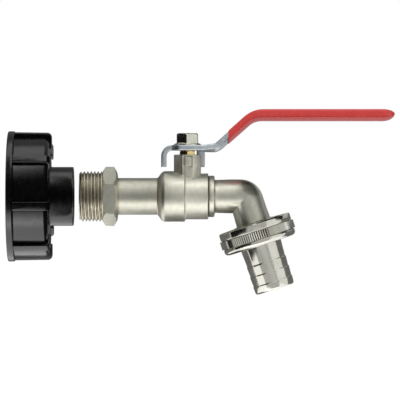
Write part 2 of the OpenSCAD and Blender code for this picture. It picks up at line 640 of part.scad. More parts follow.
// The barbs, as the tail's outline down the leg
function barbs() = [for (i = [0:barb_count - 1]) let (z = tail_at + tail_flange_t + barb_at + i * barb_pitch)
    each [[barb_r - barb_step, z], [barb_r, z + 0.05], [barb_r, z + 0.05 + barb_land]]];
module hose_tail() color([0.8, 0.79, 0.74]) down_leg() difference() {
    rotate_extrude() polygon(rounded(concat([[0, tail_at], [tail_flange_r, tail_at], [tail_flange_r, tail_at + tail_flange_t],
        [tail_neck_r, tail_at + tail_flange_t], [tail_neck_r, tail_at + tail_flange_t + 3.6]], barbs(),
        [[barb_r - barb_step, tail_end, 0.9], [0, tail_end]])));
    translate([0, 0, tail_at - over]) cylinder(h = tail_end - tail_at + 2 * over, r = tail_bore_r);
}

tank_cap();
cap_gasket();
inlet_washer();
valve_body();
spout_elbow();
spout_gasket();
ball();
inlet_seat();
outlet_seat();
stem();
stem_thrust_washer();
lower_packing_ring();
upper_packing_ring();
gland_nut();
lever();
lever_sleeve();
lever_screw();
union_nut();
union_washer();
hose_tail();
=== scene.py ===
# %% [markdown]
# A ball tap for an IBC tank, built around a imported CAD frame.
# The tap is cast brass with a nickel plating, its lever is pressed steel with a dipped red grip,
# and a black plastic cap with a coarse thread joins it to the tank. The CAD frame fixes every place
# and size. This lesson makes the surfaces that the eye meets: threads, knurls, soft edges and finishes.
# Lengths are written in millimetres, as on a workshop drawing, and turned to metres by MM.

# %% Load the frame
import math

import bmesh
import bpy
from mathutils import Matrix, Vector


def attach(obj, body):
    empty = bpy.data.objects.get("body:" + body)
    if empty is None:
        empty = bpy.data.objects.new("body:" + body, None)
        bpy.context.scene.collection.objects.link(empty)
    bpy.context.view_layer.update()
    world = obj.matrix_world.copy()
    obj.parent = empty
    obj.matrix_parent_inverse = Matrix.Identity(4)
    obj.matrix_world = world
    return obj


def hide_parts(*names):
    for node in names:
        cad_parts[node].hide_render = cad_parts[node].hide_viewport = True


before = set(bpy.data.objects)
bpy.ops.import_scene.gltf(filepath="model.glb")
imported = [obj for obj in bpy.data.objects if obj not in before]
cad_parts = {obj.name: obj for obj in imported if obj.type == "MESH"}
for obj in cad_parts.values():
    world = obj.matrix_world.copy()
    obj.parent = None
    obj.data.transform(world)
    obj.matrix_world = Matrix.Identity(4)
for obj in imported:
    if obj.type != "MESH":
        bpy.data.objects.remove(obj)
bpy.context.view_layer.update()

MM = 0.001
scene = bpy.context.scene

# %% [markdown]
# The photograph is a level view from the side, taken from far away with a long lens, so lines along
# the tap stay parallel. A camera two metres off with a lens to match gives the same flat look.

# %% Camera
PHOTO_WIDTH = 210.0
CAMERA_DISTANCE = 2000.0
camera_data = bpy.data.cameras.new("camera")
camera_data.sensor_width = 36
camera_data.lens = 36 * CAMERA_DISTANCE / PHOTO_WIDTH
camera = bpy.data.objects.new("camera", camera_data)
camera.location = Vector((100.6, -CAMERA_DISTANCE, -1.9)) * MM
camera.rotation_euler = (math.radians(90), 0, 0)
scene.collection.objects.link(camera)
scene.camera = camera
print("camera lens", round(camera_data.lens, 1))

# %% [markdown]
# A product table: white all round, a long soft box above the tap and a low one below it. Grey and
# black cloth hangs round the set, and small black and white cards stand close to the tap. Only
# mirror-like rays see cloth and cards. They give the metal its dark middle and dark edges, and
# without them the plating would look like white paint.

# %% World and floor
SET_MIDDLE = Vector((100, 0, 0)) * MM
FLOOR_DROP, FLOOR_HALF = 350, 6000


def any_ray(tree, *kinds):
    """1 on rays of any of these kinds, 0 on the others."""
    path = tree.nodes.new("ShaderNodeLightPath")
    found = path.outputs[kinds[0]]
    for kind in kinds[1:]:
        either = tree.nodes.new("ShaderNodeMath")
        either.operation = "MAXIMUM"
        tree.links.new(found, either.inputs[0])
        tree.links.new(path.outputs[kind], either.inputs[1])
        found = either.outputs[0]
    return found


world = bpy.data.worlds.new("studio")
scene.world = world
world.use_nodes = True
nodes, links = world.node_tree.nodes, world.node_tree.links
nodes.clear()
white, soft = nodes.new("ShaderNodeBackground"), nodes.new("ShaderNodeBackground")
for background in (white, soft):
    background.inputs["Color"].default_value = (1, 1, 1, 1)
soft.inputs["Strength"].default_value = 0.8
choose = nodes.new("ShaderNodeMixShader")
links.new(any_ray(world.node_tree, "Is Camera Ray", "Is Glossy Ray", "Is Transmission Ray"), choose.inputs[0])
links.new(soft.outputs[0], choose.inputs[1])
links.new(white.outputs[0], choose.inputs[2])
links.new(choose.outputs[0], nodes.new("ShaderNodeOutputWorld").inputs[0])


def studio_material(name, shade, matt, glow=1.0):
    """A grey surface that lamps light as matt, and that the camera and reflections see glow."""
    material = bpy.data.materials.new(name)
    material.use_nodes = True
    tree = material.node_tree
    tree.nodes.clear()
    surface = tree.nodes.new("ShaderNodeBsdfDiffuse")
    surface.inputs["Color"].default_value = (matt, matt, matt, 1)
    light = tree.nodes.new("ShaderNodeEmission")
    light.inputs["Color"].default_value = (shade, shade, shade, 1)
    strength = tree.nodes.new("ShaderNodeMath")
    strength.operation = "MULTIPLY"
    strength.inputs[1].default_value = glow
    tree.links.new(any_ray(tree, "Is Camera Ray", "Is Glossy Ray"), strength.inputs[0])
    tree.links.new(strength.outputs[0], light.inputs["Strength"])
    both = tree.nodes.new("ShaderNodeAddShader")
    tree.links.new(surface.outputs[0], both.inputs[0])
    tree.links.new(light.outputs[0], both.inputs[1])
    tree.links.new(both.outputs[0], tree.nodes.new("ShaderNodeOutputMaterial").inputs[0])
    return material


def stage_mesh(name, bm, material):
    """A piece of the studio, which is no part of the tap."""
    mesh = bpy.data.meshes.new(name)
    bm.to_mesh(mesh)
    bm.free()
    thing = bpy.data.objects.new(name, mesh)
    scene.collection.objects.link(thing)
    mesh.materials.append(material)
    return thing


floor_mesh = bmesh.new()
bmesh.ops.create_grid(floor_mesh, x_segments=1, y_segments=1, size=FLOOR_HALF * MM)
bmesh.ops.translate(floor_mesh, verts=floor_mesh.verts, vec=SET_MIDDLE - Vector((0, 0, FLOOR_DROP * MM)))
stage_mesh("floor", floor_mesh, studio_material("pale_floor", shade=0.8, matt=0.8, glow=0.85))
print("floor is", FLOOR_DROP, "mm below the waterway")

# %% Cloth and cards
def only_reflected(thing):
    """Hides a thing from every ray but the mirror-like ones."""
    thing.visible_camera = thing.visible_diffuse = thing.visible_shadow = False
    thing.visible_transmission = False


def cloth_band(name, radius, low, high, start, turn, shade):
    """Part of a drum round the set, between two elevations, from an azimuth on."""
    bm = bmesh.new()
    foot, head = (bm.verts.new((radius, 0, radius * math.tan(math.radians(a)))) for a in (low, high))
    edge = bm.edges.new((foot, head))
    bmesh.ops.rotate(bm, verts=bm.verts, cent=(0, 0, 0), matrix=Matrix.Rotation(math.radians(start), 3, "Z"))
    bmesh.ops.spin(bm, geom=[foot, head, edge], cent=(0, 0, 0), axis=(0, 0, 1),
                   angle=math.radians(turn), steps=24)
    bmesh.ops.translate(bm, verts=bm.verts, vec=SET_MIDDLE)
    only_reflected(stage_mesh(name, bm, studio_material(name, shade, matt=shade)))


def card(name, low, high, shade):
    """A flat card between two corners. One of its three sizes is nought."""
    bm = bmesh.new()
    flat = [i for i in range(3) if low[i] == high[i]][0]
    a, b = [i for i in range(3) if i != flat]
    corners = []
    for at_a, at_b in ((low, low), (high, low), (high, high), (low, high)):
        corner = list(low)
        corner[a], corner[b] = at_a[a], at_b[b]
        corners.append(bm.verts.new(Vector(corner) * MM))
    bm.faces.new(corners)
    only_reflected(stage_mesh(name, bm, studio_material(name, shade, matt=0.0)))


cloth_band("front_cloth", radius=0.62, low=-35, high=20, start=232, turn=76, shade=0.32)
cloth_band("back_cloth", radius=0.62, low=-29, high=70, start=0, turn=180, shade=0.10)
cloth_band("black_flag", radius=0.60, low=-14, high=20, start=195, turn=26, shade=0.004)
card("cap_flag", (-260, -170, -75), (48, -170, 520), shade=0.01)
card("gap_flag", (35, -170, -75), (35, -15, 75), shade=0.01)
card("nut_card", (100, -240, -70), (230, -240, -20), shade=0.72)
card("handle_flag", (122, -40, 16), (240, 6, 16), shade=0.01)
card("handle_card", (122, 8, 16), (240, 80, 16), shade=0.60)
card("under_flag", (54, -12, -118), (136, 300, -118), shade=0.10)

# %% Lamps
def soft_box(name, direction, distance, size, power):
    """A rectangular lamp that faces the tap from a direction given as azimuth and elevation."""
    lamp_data = bpy.data.lights.new(name, "AREA")
    lamp_data.shape = "RECTANGLE"
    lamp_data.size, lamp_data.size_y = size
    lamp_data.energy = power
    lamp = bpy.data.objects.new(name, lamp_data)
    azimuth, elevation = (math.radians(a) for a in direction)
    towards = Vector((math.sin(azimuth) * math.cos(elevation), -math.cos(azimuth) * math.cos(elevation),
                      math.sin(elevation)))
    lamp.location = SET_MIDDLE + towards * distance
    lamp.rotation_mode = "QUATERNION"
    lamp.rotation_quaternion = towards.to_track_quat("Z", "X")
    lamp.visible_camera = False
    scene.collection.objects.link(lamp)


soft_box("key_above", direction=(0, 62), distance=1.0, size=(0.30, 1.6), power=2.4)
soft_box("fill_below", direction=(0, -50), distance=0.42, size=(0.12, 0.6), power=0.25)

# %% [markdown]
# Every piece goes through the same three steps. A bmesh is made into an object, with doubled points
# merged and faces turned outwards. Booleans then join or cut it. Last it is dressed: smooth shading
# that keeps its sharp edges, a material and the body that it moves with, and the CAD node it stands for is hidden.

# %% Workshop helpers
WATERWAY = Matrix.Rotation(math.radians(90), 4, "Y")


def make(name, bm, place=Matrix()):
    """An object from a bmesh, with its place in its mesh."""
    bmesh.ops.remove_doubles(bm, verts=bm.verts, dist=1e-7)
    bmesh.ops.recalc_face_normals(bm, faces=bm.faces)
    bm.transform(place)
    mesh = bpy.data.meshes.new(name)
    bm.to_mesh(mesh)
    bm.free()
    thing = bpy.data.objects.new(name, mesh)
    scene.collection.objects.link(thing)
    return thing


def combine(thing, tool, how="UNION"):
    """Joins tool to thing, cuts it away or keeps what both share, and removes the tool."""
    step = thing.modifiers.new(how.lower(), "BOOLEAN")
    step.operation, step.object, step.solver = how, tool, "EXACT"
    bpy.context.view_layer.update()
    evaluated = thing.evaluated_get(bpy.context.evaluated_depsgraph_get())
    result = bpy.data.meshes.new_from_object(evaluated)
    thing.modifiers.clear()
    thing.data = result
    bpy.data.objects.remove(tool)


def dress(thing, body, material, replaces=(), sharp=35):
    """Shading, finish and the body that the piece rides on."""
    mesh = thing.data
    mesh.polygons.foreach_set("use_smooth", [True] * len(mesh.polygons))
    mesh.set_sharp_from_angle(angle=math.radians(sharp))
    mesh.materials.clear()
    mesh.materials.append(material)
    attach(thing, body)
    if replaces:
        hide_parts(*replaces)
    print(thing.name, len(mesh.polygons), "faces on", body)


def soften(bm, width, segments=2, angle=25):
    """Bevels every edge sharper than angle."""
    edges = [e for e in bm.edges if e.is_manifold and e.calc_face_angle(0) > math.radians(angle)]
    bmesh.ops.bevel(bm, geom=edges, offset=width * MM, offset_type="OFFSET", segments=segments,
                    profile=0.5, affect="EDGES", material=-1, clamp_overlap=True)


def turned(outline, steps=96):
    """A ring or bar from its outline of (radius, height, rounding) corners, as a lathe makes it."""
    bm = bmesh.new()
    corners = [bm.verts.new((c[0] * MM, 0, c[1] * MM)) for c in outline]
    for a, b in zip(corners, corners[1:] + corners[:1]):
        bm.edges.new((a, b))
    for corner, values in zip(corners, outline):
        if len(values) > 2:
            bmesh.ops.bevel(bm, geom=[corner], offset=values[2] * MM, offset_type="OFFSET",
                            segments=values[3] if len(values) > 3 else 3,
                            profile=0.5, affect="VERTICES", material=-1)
    bmesh.ops.spin(bm, geom=bm.verts[:] + bm.edges[:], cent=(0, 0, 0), axis=(0, 0, 1),
                   angle=math.tau, steps=steps, use_merge=True)
    bmesh.ops.remove_doubles(bm, verts=bm.verts, dist=1e-7)
    return bm


def loft(rings):
    """A closed skin through rings of equally many points, capped at both ends."""
    bm = bmesh.new()
    first = [bm.verts.new(Vector(p) * MM) for p in rings[0]]
    ring_edges = [bm.edges.new(pair) for pair in zip(first, first[1:] + first[:1])]
    bm.faces.new(first)
    verts = first
    for ring in rings[1:]:
        made = bmesh.ops.extrude_edge_only(bm, edges=ring_edges)["geom"]
        new = {v for v in made if isinstance(v, bmesh.types.BMVert)}
        ring_edges = [e for e in made if isinstance(e, bmesh.types.BMEdge) and set(e.verts) <= new]
        verts = [next(e.other_vert(v) for e in v.link_edges if e.other_vert(v) in new) for v in verts]
        for v, p in zip(verts, ring):
            v.co = Vector(p) * MM
    bm.faces.new(verts)
    return bm


def prism(sides, across_flats, height, turn=0.0):
    """A bar with flats, standing on the origin, with a flat towards the front at turn 0."""
    bm = bmesh.new()
    radius = across_flats / 2 / math.cos(math.pi / sides)
    bmesh.ops.create_cone(bm, cap_ends=True, segments=sides, radius1=radius * MM, radius2=radius * MM,
                          depth=height * MM)
    bmesh.ops.translate(bm, verts=bm.verts, vec=(0, 0, height / 2 * MM))
    some_corner = next(iter(bm.verts)).co
    first_corner = math.atan2(some_corner.y, some_corner.x)
    to_front = -math.pi / 2 + math.pi / sides - first_corner + math.radians(turn)
    bmesh.ops.rotate(bm, verts=bm.verts, cent=(0, 0, 0), matrix=Matrix.Rotation(to_front, 3, "Z"))
    return bm


def block(low, high):
    """A box between two corners."""
    bm = bmesh.new()
    bmesh.ops.create_cube(bm, size=1)
    size = [h - l for l, h in zip(low, high)]
    bmesh.ops.scale(bm, verts=bm.verts, vec=Vector(size) * MM)
    bmesh.ops.translate(bm, verts=bm.verts, vec=Vector([(l + h) / 2 for l, h in zip(low, high)]) * MM)
    return bm


print("helpers ready")

# %% [markdown]
# Finishes. Real surfaces are never one flat value: cast metal is grained, plastic has a fine mould texture,
# and corners and thread grooves get a brown painted shade mixed with dirt. Two shared groups give that. "fine_grain"
# puts out a mask and a height from noise at a size in millimetres, and the other mixes that brown in by a mask.

# %% Shared node groups
def group(name, inputs, outputs):
    """A node group with named sockets, its input node and its output node."""
    tree = bpy.data.node_groups.new(name, "ShaderNodeTree")
    for title, kind, value in inputs:
        socket = tree.interface.new_socket(name=title, in_out="INPUT", socket_type=kind)
        socket.default_value = value
    for title, kind in outputs:
        tree.interface.new_socket(name=title, in_out="OUTPUT", socket_type=kind)
    return tree, tree.nodes.new("NodeGroupInput"), tree.nodes.new("NodeGroupOutput")


def math_node(tree, operation, a, b=None, clamp=False):
    """One step of arithmetic between two numbers or sockets."""
    node = tree.nodes.new("ShaderNodeMath")
    node.operation, node.use_clamp = operation, clamp
    for socket, value in zip(node.inputs, (a, b)):
        if isinstance(value, (int, float)):
            socket.default_value = value
        elif value is not None:
            tree.links.new(value, socket)
    return node.outputs[0]


def noise(tree, size_mm, detail):
    """Noise over Object coordinates, with blobs of about size_mm, evened out to 0 to 1."""
    place = tree.nodes.new("ShaderNodeTexCoord")
    texture = tree.nodes.new("ShaderNodeTexNoise")
    texture.inputs["Scale"].default_value = 1 / (size_mm * MM)
    texture.inputs["Detail"].default_value = detail
    tree.links.new(place.outputs["Object"], texture.inputs["Vector"])
    spread = tree.nodes.new("ShaderNodeMapRange")
    spread.inputs["From Min"].default_value = 0.3
    spread.inputs["From Max"].default_value = 0.7
    tree.links.new(texture.outputs[0], spread.inputs["Value"])
    return spread.outputs["Result"]


def fine_grain_group():
    tree, _, out = group("fine_grain", [], [("Coarse", "NodeSocketFloat"), ("Fine", "NodeSocketFloat"),
                                            ("Height", "NodeSocketFloat")])
    coarse, fine = noise(tree, size_mm=2.6, detail=4), noise(tree, size_mm=0.28, detail=2)
    tree.links.new(coarse, out.inputs["Coarse"])
    tree.links.new(fine, out.inputs["Fine"])
    height = math_node(tree, "ADD", math_node(tree, "MULTIPLY", coarse, 0.35),
                       math_node(tree, "MULTIPLY", fine, 0.65))
    tree.links.new(height, out.inputs["Height"])
    return tree


# Mixes a second colour in by a mask: the brown painted shade, with dirt, in corners and thread grooves.
def painted_shade_and_stain_group():
    tree, given, out = group("painted_shade_and_stain", [("Metal", "NodeSocketColor", (0.7, 0.7, 0.7, 1)),
                                         ("Shade_and_stain", "NodeSocketColor", (0.3, 0.22, 0.14, 1)),
                                         ("Mask", "NodeSocketFloat", 0.0), ("Amount", "NodeSocketFloat", 0.5)],
                             [("Color", "NodeSocketColor")])
    mix = tree.nodes.new("ShaderNodeMix")
    mix.data_type = "RGBA"
    share = math_node(tree, "MULTIPLY", given.outputs["Mask"], given.outputs["Amount"], clamp=True)
    tree.links.new(share, mix.inputs[0])
    tree.links.new(given.outputs["Metal"], mix.inputs[6])
    tree.links.new(given.outputs["Shade_and_stain"], mix.inputs[7])
    tree.links.new(mix.outputs[2], out.inputs["Color"])
    return tree


FINE_GRAIN = fine_grain_group()
PAINTED_SHADE_AND_STAIN = painted_shade_and_stain_group()
print("groups", [g.name for g in bpy.data.node_groups])

# %% Material helpers
def finish(name, metallic, **plain):
    """A material with a Principled BSDF whose plain values are set on its own sockets."""
    material = bpy.data.materials.new(name)
    material.use_nodes = True
    shader = material.node_tree.nodes["Principled BSDF"]
    shader.inputs["Metallic"].default_value = metallic
    for title, value in plain.items():
        shader.inputs[title.replace("_", " ")].default_value = value
    return material, material.node_tree, shader


def use(tree, shared):
    node = tree.nodes.new("ShaderNodeGroup")
    node.node_tree = shared
    return node


def ranged(tree, value, low, high):
    """A 0 to 1 value spread between two others."""
    node = tree.nodes.new("ShaderNodeMapRange")
    node.inputs["To Min"].default_value, node.inputs["To Max"].default_value = low, high
    tree.links.new(value, node.inputs["Value"])
    return node.outputs["Result"]


def colour_between(tree, value, first, second):
    """A colour that goes from first to second as a value goes from 0 to 1."""
    node = tree.nodes.new("ShaderNodeMix")
    node.data_type = "RGBA"
    tree.links.new(value, node.inputs[0])
    node.inputs[6].default_value, node.inputs[7].default_value = (*first, 1), (*second, 1)
    return node.outputs[2]


def bump(tree, shader, height, strength, depth_mm):
    node = tree.nodes.new("ShaderNodeBump")
    node.inputs["Strength"].default_value = strength
    node.inputs["Distance"].default_value = depth_mm * MM
    tree.links.new(height, node.inputs["Height"])
    tree.links.new(node.outputs[0], shader.inputs["Normal"])


def along(tree, axis):
    """One Object coordinate, in metres."""
    place = tree.nodes.new("ShaderNodeTexCoord")
    split = tree.nodes.new("ShaderNodeSeparateXYZ")
    tree.links.new(place.outputs["Object"], split.inputs[0])
    return split.outputs[axis]


def near(tree, value, centre_mm, width_mm):
    """1 at a place along an axis, falling to 0 within width."""
    away = math_node(tree, "ABSOLUTE", math_node(tree, "SUBTRACT", value, centre_mm * MM))
    return math_node(tree, "SUBTRACT", 1.0, math_node(tree, "DIVIDE", away, width_mm * MM), clamp=True)


def vector_node(tree, operation, first, second=None):
    """One step of vector arithmetic on a socket, with a fixed second vector."""
    node = tree.nodes.new("ShaderNodeVectorMath")
    node.operation = operation
    tree.links.new(first, node.inputs[0])
    if second is not None:
        node.inputs[1].default_value = second
    return node


print("material helpers ready")

# %% [markdown]
# Nickel over cast brass. The casting is blasted before plating, so it is satin with a fine grain and
# warm grey. The corners get a brown painted shade, mixed with polish and dirt: at the step in the barrel,
# at the collar's joint and at the foot of the neck. Those places are bands along the waterway.

# %% Cast nickel
def cast_nickel(name, shade_and_stain_places):
    """Satin nickel with brown bands of painted shade and dirt at places along the waterway, given as (centre,
    width).
    """
    material, tree, shader = finish(name, 1.0)
    grain = use(tree, FINE_GRAIN)
    shaded_and_stained = use(tree, PAINTED_SHADE_AND_STAIN)
    bare_metal = colour_between(tree, grain.outputs["Coarse"], (0.57, 0.562, 0.465), (0.66, 0.652, 0.565))
    tree.links.new(bare_metal, shaded_and_stained.inputs["Metal"])
    # Brown painted shade, with dirt, laid in bands at the steps and joints along the waterway.
    shaded_and_stained.inputs["Shade_and_stain"].default_value = (0.27, 0.19, 0.11, 1)
    x = along(tree, "X")
    mask = near(tree, x, *shade_and_stain_places[0])
    for place in shade_and_stain_places[1:]:
        mask = math_node(tree, "MAXIMUM", mask, near(tree, x, *place))
    rough_mask = math_node(tree, "MULTIPLY", mask, ranged(tree, grain.outputs["Fine"], 0.6, 1.0))
    tree.links.new(rough_mask, shaded_and_stained.inputs["Mask"])
    shaded_and_stained.inputs["Amount"].default_value = 0.7
    tree.links.new(shaded_and_stained.outputs["Color"], shader.inputs["Base Color"])
    tree.links.new(ranged(tree, grain.outputs["Fine"], 0.36, 0.46), shader.inputs["Roughness"])
    bump(tree, shader, grain.outputs["Height"], 0.35, 0.05)
    return material


# Painted shade bands at the barrel step, the cone, the foot of the neck and the collar joint.
body_nickel = cast_nickel("body_nickel", [(92.65, 0.5), (78.8, 1.1), (57.8, 0.9), (104.9, 0.45)])
spout_nickel = cast_nickel("spout_nickel", [(105.3, 0.45), (108.4, 0.7)])
print("made", body_nickel.name, spout_nickel.name)

# %% [markdown]
# The pipe threads are cut after casting and plated thinly: bright on the crests, with a brown painted shade
# in the grooves, in patches like stain. The mask is the distance from the thread's axis, measured from root to
# crest.

# %% Cut thread
def thread_metal(name, axis_start, axis_direction, root, crest):
    """Plated brass that is bright at the crest radius and brown at the root radius, a painted shade in patches."""
    material, tree, shader = finish(name, 1.0)
    place = tree.nodes.new("ShaderNodeTexCoord")
    offset = vector_node(tree, "SUBTRACT", place.outputs["Object"], Vector(axis_start) * MM)
    across = vector_node(tree, "CROSS_PRODUCT", offset.outputs[0], axis_direction)
    distance = vector_node(tree, "LENGTH", across.outputs[0])
    groove = tree.nodes.new("ShaderNodeMapRange")
    groove.inputs["From Min"].default_value = crest * MM
    groove.inputs["From Max"].default_value = root * MM
    tree.links.new(distance.outputs["Value"], groove.inputs["Value"])
    grain = use(tree, FINE_GRAIN)
    shaded_and_stained = use(tree, PAINTED_SHADE_AND_STAIN)
    shaded_and_stained.inputs["Metal"].default_value = (0.80, 0.77, 0.65, 1)
    # Brown painted shade in the thread grooves, in patches.
    shaded_and_stained.inputs["Shade_and_stain"].default_value = (0.20, 0.16, 0.10, 1)
    patchy = ranged(tree, grain.outputs["Coarse"], 0.6, 1.0)
    tree.links.new(math_node(tree, "MULTIPLY", groove.outputs["Result"], patchy), shaded_and_stained.inputs["Mask"])
    shaded_and_stained.inputs["Amount"].default_value = 0.8
    tree.links.new(shaded_and_stained.outputs["Color"], shader.inputs["Base Color"])
    tree.links.new(ranged(tree, grain.outputs["Coarse"], 0.26, 0.36), shader.inputs["Roughness"])
    bump(tree, shader, grain.outputs["Height"], 0.15, 0.03)
    return material


THREAD_CREST, THREAD_ROOT, THREAD_PITCH = 13.22, 12.06, 1.814
inlet_thread_metal = thread_metal("inlet_thread_metal", (0, 0, 0), (1, 0, 0), THREAD_ROOT, THREAD_CREST)

# %% [markdown]
# The union nut and the hose tail are turned and polished before plating, so they mirror the room.
# Slow waves in the roughness and a hint of bump keep the reflections from being perfect.

# %% Polished nickel, steel and brass
def polished(name, colours, rough, wave_mm, strength):
    """Turned or pressed metal with slow waves in colour, roughness and height."""
    material, tree, shader = finish(name, 1.0)
    slow, fine = noise(tree, wave_mm, detail=2), noise(tree, size_mm=0.25, detail=2)
    tree.links.new(colour_between(tree, slow, *colours), shader.inputs["Base Color"])
    tree.links.new(ranged(tree, slow, *rough), shader.inputs["Roughness"])
    both = math_node(tree, "ADD", slow, math_node(tree, "MULTIPLY", fine, 0.12))
    bump(tree, shader, both, strength, 0.12)
    return material


BRIGHT_NICKEL = (0.60, 0.59, 0.52), (0.69, 0.68, 0.61)
SCREW_COLOURS = (0.54, 0.54, 0.46), (0.61, 0.60, 0.54)
ZINC = (0.50, 0.56, 0.59), (0.62, 0.67, 0.69)
BRASS = (0.74, 0.55, 0.22), (0.83, 0.66, 0.32)
CHROME = (0.82, 0.83, 0.84), (0.86, 0.86, 0.87)
nut_nickel = polished("nut_nickel", BRIGHT_NICKEL, rough=(0.11, 0.19), wave_mm=5, strength=0.12)
tail_nickel = polished("tail_nickel", BRIGHT_NICKEL, rough=(0.10, 0.18), wave_mm=6, strength=0.12)
screw_nickel = polished("screw_nickel", SCREW_COLOURS, rough=(0.12, 0.22), wave_mm=3, strength=0.12)
lever_zinc = polished("lever_zinc", ZINC, rough=(0.32, 0.42), wave_mm=2.2, strength=0.3)
gland_brass = polished("gland_brass", BRASS, rough=(0.16, 0.28), wave_mm=2, strength=0.15)
ball_chrome = polished("ball_chrome", CHROME, rough=(0.04, 0.07), wave_mm=6, strength=0.05)
print("polished metals ready")

# %% [markdown]
# Plastics and rubber. The cap is injection-moulded black plastic with a faint mould grain, the
# sleeve is soft red vinyl, dipped on, so its skin is smooth with slow waves. Both get a slightly
# uneven roughness. The seals are matt black rubber and off-white PTFE.

# %% Plastics and rubber
def moulded(name, colours, rough, strength, **plain):
    """Plastic or rubber, grained in colour, roughness and height."""
    material, tree, shader = finish(name, 0.0, **plain)
    grain = use(tree, FINE_GRAIN)
    tree.links.new(colour_between(tree, grain.outputs["Coarse"], *colours), shader.inputs["Base Color"])
    tree.links.new(ranged(tree, grain.outputs["Coarse"], *rough), shader.inputs["Roughness"])
    bump(tree, shader, grain.outputs["Height"], strength, 0.04)
    return material


BLACK = (0.001, 0.001, 0.0012), (0.002, 0.002, 0.0022)
RED = (0.60, 0.038, 0.034), (0.66, 0.046, 0.040)
RUBBER = (0.018, 0.018, 0.018), (0.035, 0.035, 0.035)
PTFE = (0.80, 0.79, 0.76), (0.86, 0.86, 0.84)
cap_plastic = moulded("cap_plastic", BLACK, rough=(0.20, 0.28), strength=0.10, Specular_IOR_Level=0.9)
sleeve_vinyl = moulded("sleeve_vinyl", RED, rough=(0.24, 0.30), strength=0.01)
seal_rubber = moulded("seal_rubber", RUBBER, rough=(0.6, 0.8), strength=0.3)
seat_ptfe = moulded("seat_ptfe", PTFE, rough=(0.35, 0.5), strength=0.1)
for material, node_names in (
        (seal_rubber, ("cap_gasket", "inlet_washer", "spout_gasket", "union_washer")),
        (seat_ptfe, ("inlet_seat", "outlet_seat", "stem_thrust_washer", "lower_packing_ring",
                     "upper_packing_ring")),
        (gland_brass, ("gland_nut", "stem")),
        (ball_chrome, ("ball",))):
    for node_name in node_names:
        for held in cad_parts[node_name].material_slots:
            held.material = material
print("CAD nodes dressed")

# %% [markdown]
# The tank cap. Its skirt, end plate and spigot are one turned outline. Eight grip ribs run along
# the skirt, round the shoulder and onto the plate. One rib is drawn from the side, pulled to its
# width, softened, and copied round; a Boolean makes it one moulding with the skirt.

# %% Tank cap
FLANGE_R, FLANGE_W, SKIRT_R, CAP_DEPTH, PLATE_IN = 34.2, 3.6, 31.6, 21.8, 18.8
SPIGOT_R, SPIGOT_END, SPIGOT_BORE, WASHER_X, INLET_HOLE_R = 15.45, 34.3, 13.32, 20.3, 9.5
CAP_ROOT_R, CAP_CREST_R = 30.0, 27.7
tank_cap = make("cap_moulding", turned([
    (CAP_ROOT_R, 0, 0.4), (FLANGE_R, 0, 0.6), (FLANGE_R, FLANGE_W, 0.7), (SKIRT_R, FLANGE_W, 0.3),
    (SKIRT_R, CAP_DEPTH, 2.6, 6), (SPIGOT_R, CAP_DEPTH, 0.5), (SPIGOT_R, SPIGOT_END, 0.6),
    (SPIGOT_BORE, SPIGOT_END, 0.3), (SPIGOT_BORE, WASHER_X), (INLET_HOLE_R, WASHER_X),
    (INLET_HOLE_R, PLATE_IN), (CAP_ROOT_R, PLATE_IN)], steps=128), WATERWAY)

RIB_COUNT, RIB_WIDTH, RIB_R, RIB_FRONT, RIB_INNER_R, RIB_PHASE = 8, 4.5, 33.5, 23.05, 25.5, 9
RIB_START_X, RIB_PLATE_X, RIB_FOOT_R = 2.6, 20.8, 30.6
rib = bmesh.new()
side = rib.faces.new([rib.verts.new((x * MM, -RIB_WIDTH / 2 * MM, r * MM)) for x, r in (
    (RIB_START_X, RIB_FOOT_R), (RIB_START_X, RIB_R + 0.3), (RIB_FRONT, RIB_R), (RIB_FRONT, RIB_INNER_R),
    (RIB_PLATE_X, RIB_INNER_R), (RIB_PLATE_X, RIB_FOOT_R))])
shoulder = [v for v in side.verts if v.co.x > (RIB_FRONT - 1) * MM and v.co.z > RIB_FOOT_R * MM]
bmesh.ops.bevel(rib, geom=shoulder, offset=2.4 * MM, offset_type="OFFSET", segments=6, profile=0.5,
                affect="VERTICES", material=-1)
pulled = bmesh.ops.extrude_face_region(rib, geom=rib.faces[:])["geom"]
bmesh.ops.translate(rib, verts=[v for v in pulled if isinstance(v, bmesh.types.BMVert)],
                    vec=(0, RIB_WIDTH * MM, 0))
bmesh.ops.recalc_face_normals(rib, faces=rib.faces)
soften(rib, 0.45, 3, 40)
bmesh.ops.rotate(rib, verts=rib.verts, cent=(0, 0, 0),
                 matrix=Matrix.Rotation(math.radians(RIB_PHASE), 3, "X"))
bmesh.ops.spin(rib, geom=rib.verts[:] + rib.edges[:] + rib.faces[:], cent=(0, 0, 0), axis=(1, 0, 0),
               angle=math.tau * (RIB_COUNT - 1) / RIB_COUNT, steps=RIB_COUNT - 1, use_duplicate=True)
combine(tank_cap, make("ribs", rib))
dress(tank_cap, "cap", cap_plastic, ["tank_cap"], sharp=40)

# %% [markdown]
# Inside the skirt runs the coarse thread that grips the tank's outlet: two turns of a blunt ridge,
# 4.2 millimetres apart. It is a loft of its cross-section along the helix, and its ends sink into
# the wall, as a moulded thread's do.

